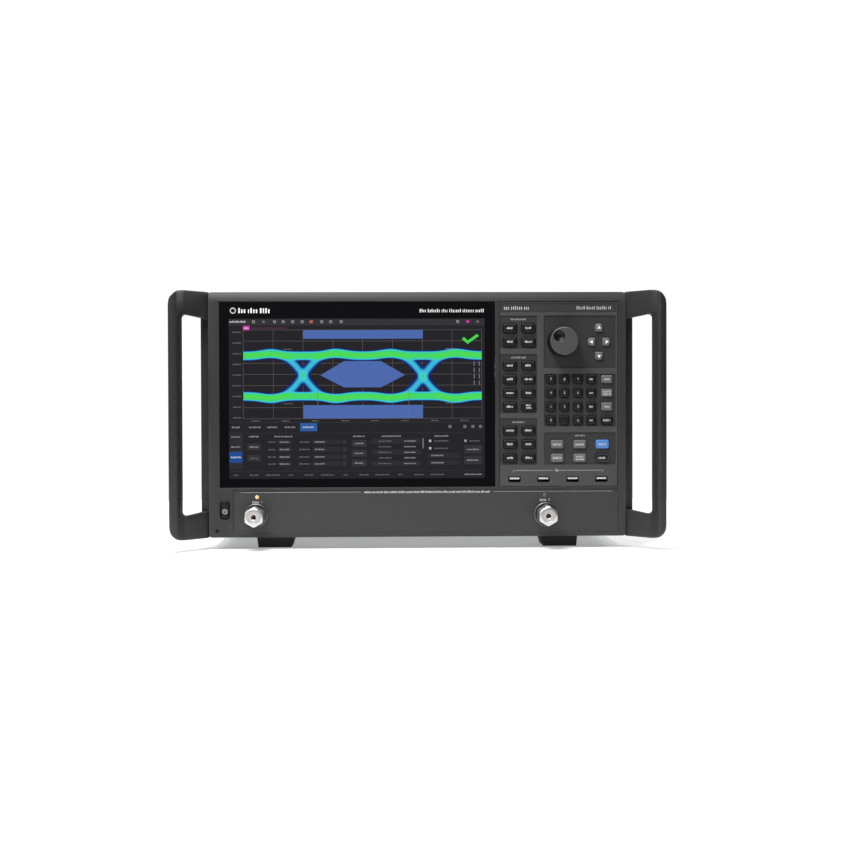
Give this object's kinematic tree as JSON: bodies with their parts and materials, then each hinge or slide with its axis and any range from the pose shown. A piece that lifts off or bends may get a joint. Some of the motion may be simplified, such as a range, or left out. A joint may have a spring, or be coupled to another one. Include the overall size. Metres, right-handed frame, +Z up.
{
  "type": "vector network analyzer",
  "caption": "Wide benchtop instrument with a large touch screen, a key panel with a turning knob, coaxial test ports along the bottom, bail handles at the sides and feet below.",
  "frame": {"origin": "on the floor under the feet, at the centre of the overall width and depth", "axes": "+Z up, the front with the screen faces -Y, +X towards the key panel"},
  "size_m": [0.498, 0.432, 0.262],
  "materials": {
    "frame_paint": "fine textured dark grey paint",
    "handle_paint": "satin dark grey paint on a casting",
    "cover_paint": "fine textured dark grey paint",
    "rear_paint": "fine textured grey paint",
    "panel_plastic": "moulded, fine texture",
    "knob_plastic": "moulded, satin",
    "dark_key": "satin silicone-coated key",
    "grey_key": "translucent grey key",
    "blue_key": "lit blue key",
    "screen_glass": "polished touch glass over the display",
    "port_steel": "machined and passivated",
    "sheet_metal": "zinc plated sheet",
    "circuit_board": "solder mask",
    "black_plastic": "moulded",
    "foot_rubber": "matt"
  },
  "bodies": {
    "case": {"front_frame": "frame_paint", "control_panel": "panel_plastic", "port_panel": "frame_paint", "touch_glass": "screen_glass", "lcd_module": "sheet_metal", "key_board": "circuit_board", "port_1": "port_steel", "port_2": "port_steel", "left_handle": "handle_paint", "right_handle": "handle_paint", "chassis": "sheet_metal", "top_cover": "cover_paint", "rear_panel": "rear_paint", "power_supply": "sheet_metal", "usb_panel": "panel_plastic", "rf_module": "sheet_metal", "fan_frame": "black_plastic", "front_foot_left": "foot_rubber", "front_foot_right": "foot_rubber", "rear_foot_left": "foot_rubber", "rear_foot_right": "foot_rubber"},
    "instrument_key_1": {"instrument_key_1": "dark_key"},
    "instrument_key_2": {"instrument_key_2": "dark_key"},
    "instrument_key_3": {"instrument_key_3": "dark_key"},
    "instrument_key_4": {"instrument_key_4": "dark_key"},
    "response_key_1": {"response_key_1": "dark_key"},
    "response_key_2": {"response_key_2": "dark_key"},
    "response_key_3": {"response_key_3": "dark_key"},
    "response_key_4": {"response_key_4": "dark_key"},
    "response_key_5": {"response_key_5": "dark_key"},
    "response_key_6": {"response_key_6": "dark_key"},
    "response_key_7": {"response_key_7": "dark_key"},
    "response_key_8": {"response_key_8": "dark_key"},
    "stimulus_key_1": {"stimulus_key_1": "dark_key"},
    "stimulus_key_2": {"stimulus_key_2": "dark_key"},
    "stimulus_key_3": {"stimulus_key_3": "dark_key"},
    "stimulus_key_4": {"stimulus_key_4": "dark_key"},
    "stimulus_key_5": {"stimulus_key_5": "dark_key"},
    "stimulus_key_6": {"stimulus_key_6": "dark_key"},
    "utility_key_1": {"utility_key_1": "grey_key"},
    "utility_key_2": {"utility_key_2": "grey_key"},
    "utility_key_3": {"utility_key_3": "blue_key"},
    "utility_key_4": {"utility_key_4": "grey_key"},
    "utility_key_5": {"utility_key_5": "grey_key"},
    "utility_key_6": {"utility_key_6": "dark_key"},
    "arrow_key_up": {"arrow_key_up": "grey_key"},
    "arrow_key_down": {"arrow_key_down": "grey_key"},
    "arrow_key_left": {"arrow_key_left": "grey_key"},
    "arrow_key_right": {"arrow_key_right": "grey_key"},
    "number_row_1": {"number_row_1": "dark_key"},
    "number_row_2": {"number_row_2": "dark_key"},
    "number_row_3": {"number_row_3": "dark_key"},
    "number_row_4": {"number_row_4": "dark_key"},
    "power_key": {"power_key": "dark_key"},
    "knob": {"knob": "knob_plastic"},
    "port_1_nut": {"port_1_nut": "port_steel"},
    "port_2_nut": {"port_2_nut": "port_steel"},
    "tilt_leg_left": {"tilt_leg_left": "black_plastic"},
    "tilt_leg_right": {"tilt_leg_right": "black_plastic"},
    "fan_rotor": {"fan_rotor": "black_plastic"}
  },
  "joints": [
    {"name": "instrument_key_1_press", "type": "slide", "parent": "case", "child": "instrument_key_1", "axis": [0, 1, 0], "range_m": [0, 0.0012], "stiffness_N_per_m": 1000},
    {"name": "instrument_key_2_press", "type": "slide", "parent": "case", "child": "instrument_key_2", "axis": [0, 1, 0], "range_m": [0, 0.0012], "stiffness_N_per_m": 1000},
    {"name": "instrument_key_3_press", "type": "slide", "parent": "case", "child": "instrument_key_3", "axis": [0, 1, 0], "range_m": [0, 0.0012], "stiffness_N_per_m": 1000},
    {"name": "instrument_key_4_press", "type": "slide", "parent": "case", "child": "instrument_key_4", "axis": [0, 1, 0], "range_m": [0, 0.0012], "stiffness_N_per_m": 1000},
    {"name": "response_key_1_press", "type": "slide", "parent": "case", "child": "response_key_1", "axis": [0, 1, 0], "range_m": [0, 0.0012], "stiffness_N_per_m": 1000},
    {"name": "response_key_2_press", "type": "slide", "parent": "case", "child": "response_key_2", "axis": [0, 1, 0], "range_m": [0, 0.0012], "stiffness_N_per_m": 1000},
    {"name": "response_key_3_press", "type": "slide", "parent": "case", "child": "response_key_3", "axis": [0, 1, 0], "range_m": [0, 0.0012], "stiffness_N_per_m": 1000},
    {"name": "response_key_4_press", "type": "slide", "parent": "case", "child": "response_key_4", "axis": [0, 1, 0], "range_m": [0, 0.0012], "stiffness_N_per_m": 1000},
    {"name": "response_key_5_press", "type": "slide", "parent": "case", "child": "response_key_5", "axis": [0, 1, 0], "range_m": [0, 0.0012], "stiffness_N_per_m": 1000},
    {"name": "response_key_6_press", "type": "slide", "parent": "case", "child": "response_key_6", "axis": [0, 1, 0], "range_m": [0, 0.0012], "stiffness_N_per_m": 1000},
    {"name": "response_key_7_press", "type": "slide", "parent": "case", "child": "response_key_7", "axis": [0, 1, 0], "range_m": [0, 0.0012], "stiffness_N_per_m": 1000},
    {"name": "response_key_8_press", "type": "slide", "parent": "case", "child": "response_key_8", "axis": [0, 1, 0], "range_m": [0, 0.0012], "stiffness_N_per_m": 1000},
    {"name": "stimulus_key_1_press", "type": "slide", "parent": "case", "child": "stimulus_key_1", "axis": [0, 1, 0], "range_m": [0, 0.0012], "stiffness_N_per_m": 1000},
    {"name": "stimulus_key_2_press", "type": "slide", "parent": "case", "child": "stimulus_key_2", "axis": [0, 1, 0], "range_m": [0, 0.0012], "stiffness_N_per_m": 1000},
    {"name": "stimulus_key_3_press", "type": "slide", "parent": "case", "child": "stimulus_key_3", "axis": [0, 1, 0], "range_m": [0, 0.0012], "stiffness_N_per_m": 1000},
    {"name": "stimulus_key_4_press", "type": "slide", "parent": "case", "child": "stimulus_key_4", "axis": [0, 1, 0], "range_m": [0, 0.0012], "stiffness_N_per_m": 1000},
    {"name": "stimulus_key_5_press", "type": "slide", "parent": "case", "child": "stimulus_key_5", "axis": [0, 1, 0], "range_m": [0, 0.0012], "stiffness_N_per_m": 1000},
    {"name": "stimulus_key_6_press", "type": "slide", "parent": "case", "child": "stimulus_key_6", "axis": [0, 1, 0], "range_m": [0, 0.0012], "stiffness_N_per_m": 1000},
    {"name": "utility_key_1_press", "type": "slide", "parent": "case", "child": "utility_key_1", "axis": [0, 1, 0], "range_m": [0, 0.0012], "stiffness_N_per_m": 1000},
    {"name": "utility_key_2_press", "type": "slide", "parent": "case", "child": "utility_key_2", "axis": [0, 1, 0], "range_m": [0, 0.0012], "stiffness_N_per_m": 1000},
    {"name": "utility_key_3_press", "type": "slide", "parent": "case", "child": "utility_key_3", "axis": [0, 1, 0], "range_m": [0, 0.0012], "stiffness_N_per_m": 1000},
    {"name": "utility_key_4_press", "type": "slide", "parent": "case", "child": "utility_key_4", "axis": [0, 1, 0], "range_m": [0, 0.0012], "stiffness_N_per_m": 1000},
    {"name": "utility_key_5_press", "type": "slide", "parent": "case", "child": "utility_key_5", "axis": [0, 1, 0], "range_m": [0, 0.0012], "stiffness_N_per_m": 1000},
    {"name": "utility_key_6_press", "type": "slide", "parent": "case", "child": "utility_key_6", "axis": [0, 1, 0], "range_m": [0, 0.0012], "stiffness_N_per_m": 1000},
    {"name": "arrow_key_up_press", "type": "slide", "parent": "case", "child": "arrow_key_up", "axis": [0, 1, 0], "range_m": [0, 0.0012], "stiffness_N_per_m": 1000},
    {"name": "arrow_key_down_press", "type": "slide", "parent": "case", "child": "arrow_key_down", "axis": [0, 1, 0], "range_m": [0, 0.0012], "stiffness_N_per_m": 1000},
    {"name": "arrow_key_left_press", "type": "slide", "parent": "case", "child": "arrow_key_left", "axis": [0, 1, 0], "range_m": [0, 0.0012], "stiffness_N_per_m": 1000},
    {"name": "arrow_key_right_press", "type": "slide", "parent": "case", "child": "arrow_key_right", "axis": [0, 1, 0], "range_m": [0, 0.0012], "stiffness_N_per_m": 1000},
    {"name": "number_row_1_press", "type": "slide", "parent": "case", "child": "number_row_1", "axis": [0, 1, 0], "range_m": [0, 0.0012], "stiffness_N_per_m": 1000},
    {"name": "number_row_2_press", "type": "slide", "parent": "case", "child": "number_row_2", "axis": [0, 1, 0], "range_m": [0, 0.0012], "stiffness_N_per_m": 1000},
    {"name": "number_row_3_press", "type": "slide", "parent": "case", "child": "number_row_3", "axis": [0, 1, 0], "range_m": [0, 0.0012], "stiffness_N_per_m": 1000},
    {"name": "number_row_4_press", "type": "slide", "parent": "case", "child": "number_row_4", "axis": [0, 1, 0], "range_m": [0, 0.0012], "stiffness_N_per_m": 1000},
    {"name": "power_key_press", "type": "slide", "parent": "case", "child": "power_key", "axis": [0, 1, 0], "range_m": [0, 0.001], "stiffness_N_per_m": 1000},
    {"name": "knob_turn", "type": "hinge", "parent": "case", "child": "knob", "pos_m": [0.1482, -0.176, 0.211], "axis": [0, 1, 0], "continuous": true},
    {"name": "port_1_nut_turn", "type": "hinge", "parent": "case", "child": "port_1_nut", "pos_m": [-0.1651, -0.191, 0.0348], "axis": [0, 1, 0], "continuous": true},
    {"name": "port_2_nut_turn", "type": "hinge", "parent": "case", "child": "port_2_nut", "pos_m": [0.1304, -0.191, 0.0348], "axis": [0, 1, 0], "continuous": true},
    {"name": "tilt_leg_left_fold", "type": "hinge", "parent": "case", "child": "tilt_leg_left", "pos_m": [-0.148, -0.146, 0.0052], "axis": [-1, 0, 0], "range_deg": [0, 90]},
    {"name": "tilt_leg_right_fold", "type": "hinge", "parent": "case", "child": "tilt_leg_right", "pos_m": [0.148, -0.146, 0.0052], "axis": [-1, 0, 0], "range_deg": [0, 90]},
    {"name": "fan_spin", "type": "hinge", "parent": "case", "child": "fan_rotor", "pos_m": [0.14, 0.189, 0.19], "axis": [0, 1, 0], "continuous": true}
  ]
}
